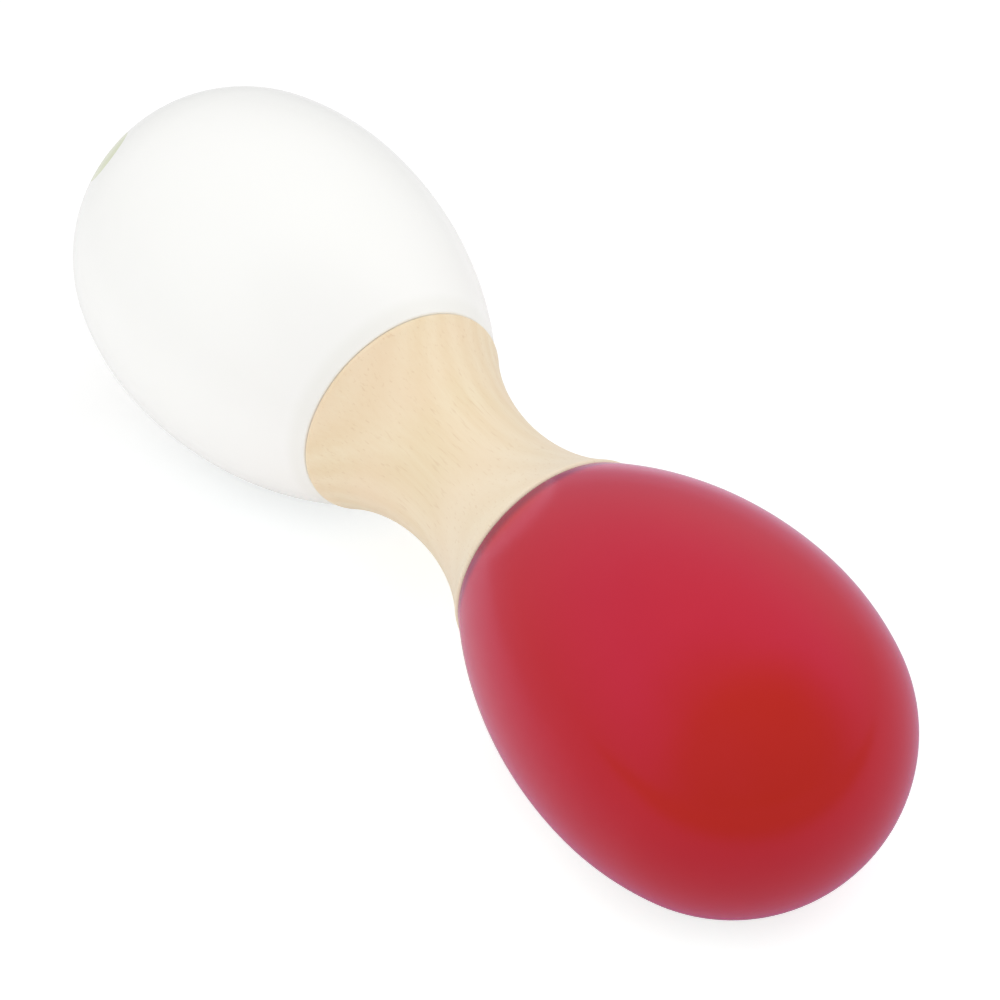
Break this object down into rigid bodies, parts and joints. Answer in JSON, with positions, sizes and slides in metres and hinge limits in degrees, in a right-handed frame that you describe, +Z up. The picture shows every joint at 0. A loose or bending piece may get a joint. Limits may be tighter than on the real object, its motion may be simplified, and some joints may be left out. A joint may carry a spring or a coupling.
{
  "type": "double maraca",
  "caption": "Double-ended hand rattle: two lacquered egg heads of bored wood with loose pellets inside, glued to a bare turned handle with a narrow waist.",
  "frame": {"origin": "on the surface that the maraca lies on, under the middle of its handle", "axes": "+X along the turning axis towards the red head, +Y across it, +Z up from the surface"},
  "size_m": [0.1446, 0.045, 0.045],
  "materials": {
    "bare_wood": "turned and sanded pale hardwood, satin clear coat",
    "white_lacquer": "gloss white lacquer over turned wood",
    "red_lacquer": "gloss red lacquer over turned wood",
    "pellet_steel": "tumbled bright steel balls"
  },
  "bodies": {
    "wooden_body": {"handle": "bare_wood", "white_head": "white_lacquer", "red_head": "red_lacquer"},
    "white_pellet_1": {"white_pellet_1": "pellet_steel"},
    "white_pellet_2": {"white_pellet_2": "pellet_steel"},
    "white_pellet_3": {"white_pellet_3": "pellet_steel"},
    "white_pellet_4": {"white_pellet_4": "pellet_steel"},
    "white_pellet_5": {"white_pellet_5": "pellet_steel"},
    "white_pellet_6": {"white_pellet_6": "pellet_steel"},
    "white_pellet_7": {"white_pellet_7": "pellet_steel"},
    "white_pellet_8": {"white_pellet_8": "pellet_steel"},
    "white_pellet_9": {"white_pellet_9": "pellet_steel"},
    "white_pellet_10": {"white_pellet_10": "pellet_steel"},
    "red_pellet_1": {"red_pellet_1": "pellet_steel"},
    "red_pellet_2": {"red_pellet_2": "pellet_steel"},
    "red_pellet_3": {"red_pellet_3": "pellet_steel"},
    "red_pellet_4": {"red_pellet_4": "pellet_steel"},
    "red_pellet_5": {"red_pellet_5": "pellet_steel"},
    "red_pellet_6": {"red_pellet_6": "pellet_steel"},
    "red_pellet_7": {"red_pellet_7": "pellet_steel"},
    "red_pellet_8": {"red_pellet_8": "pellet_steel"},
    "red_pellet_9": {"red_pellet_9": "pellet_steel"},
    "red_pellet_10": {"red_pellet_10": "pellet_steel"}
  },
  "joints": [
    {"name": "white_pellet_1_hop", "type": "slide", "parent": "wooden_body", "child": "white_pellet_1", "axis": [0, 0, 1], "range_m": [0, 0.01667]},
    {"name": "white_pellet_2_hop", "type": "slide", "parent": "wooden_body", "child": "white_pellet_2", "axis": [0, 0, 1], "range_m": [0, 0.01667]},
    {"name": "white_pellet_3_hop", "type": "slide", "parent": "wooden_body", "child": "white_pellet_3", "axis": [0, 0, 1], "range_m": [0, 0.01667]},
    {"name": "white_pellet_4_hop", "type": "slide", "parent": "wooden_body", "child": "white_pellet_4", "axis": [0, 0, 1], "range_m": [0, 0.01667]},
    {"name": "white_pellet_5_hop", "type": "slide", "parent": "wooden_body", "child": "white_pellet_5", "axis": [0, 0, 1], "range_m": [0, 0.01667]},
    {"name": "white_pellet_6_hop", "type": "slide", "parent": "wooden_body", "child": "white_pellet_6", "axis": [0, 0, 1], "range_m": [0, 0.01667]},
    {"name": "white_pellet_7_hop", "type": "slide", "parent": "wooden_body", "child": "white_pellet_7", "axis": [0, 0, 1], "range_m": [0, 0.01667]},
    {"name": "white_pellet_8_hop", "type": "slide", "parent": "wooden_body", "child": "white_pellet_8", "axis": [0, 0, 1], "range_m": [0, 0.01667]},
    {"name": "white_pellet_9_hop", "type": "slide", "parent": "wooden_body", "child": "white_pellet_9", "axis": [0, 0, 1], "range_m": [0, 0.01667]},
    {"name": "white_pellet_10_hop", "type": "slide", "parent": "wooden_body", "child": "white_pellet_10", "axis": [0, 0, 1], "range_m": [0, 0.01667]},
    {"name": "red_pellet_1_hop", "type": "slide", "parent": "wooden_body", "child": "red_pellet_1", "axis": [0, 0, 1], "range_m": [0, 0.01667]},
    {"name": "red_pellet_2_hop", "type": "slide", "parent": "wooden_body", "child": "red_pellet_2", "axis": [0, 0, 1], "range_m": [0, 0.01667]},
    {"name": "red_pellet_3_hop", "type": "slide", "parent": "wooden_body", "child": "red_pellet_3", "axis": [0, 0, 1], "range_m": [0, 0.01667]},
    {"name": "red_pellet_4_hop", "type": "slide", "parent": "wooden_body", "child": "red_pellet_4", "axis": [0, 0, 1], "range_m": [0, 0.01667]},
    {"name": "red_pellet_5_hop", "type": "slide", "parent": "wooden_body", "child": "red_pellet_5", "axis": [0, 0, 1], "range_m": [0, 0.01667]},
    {"name": "red_pellet_6_hop", "type": "slide", "parent": "wooden_body", "child": "red_pellet_6", "axis": [0, 0, 1], "range_m": [0, 0.01667]},
    {"name": "red_pellet_7_hop", "type": "slide", "parent": "wooden_body", "child": "red_pellet_7", "axis": [0, 0, 1], "range_m": [0, 0.01667]},
    {"name": "red_pellet_8_hop", "type": "slide", "parent": "wooden_body", "child": "red_pellet_8", "axis": [0, 0, 1], "range_m": [0, 0.01667]},
    {"name": "red_pellet_9_hop", "type": "slide", "parent": "wooden_body", "child": "red_pellet_9", "axis": [0, 0, 1], "range_m": [0, 0.01667]},
    {"name": "red_pellet_10_hop", "type": "slide", "parent": "wooden_body", "child": "red_pellet_10", "axis": [0, 0, 1], "range_m": [0, 0.01667]}
  ]
}
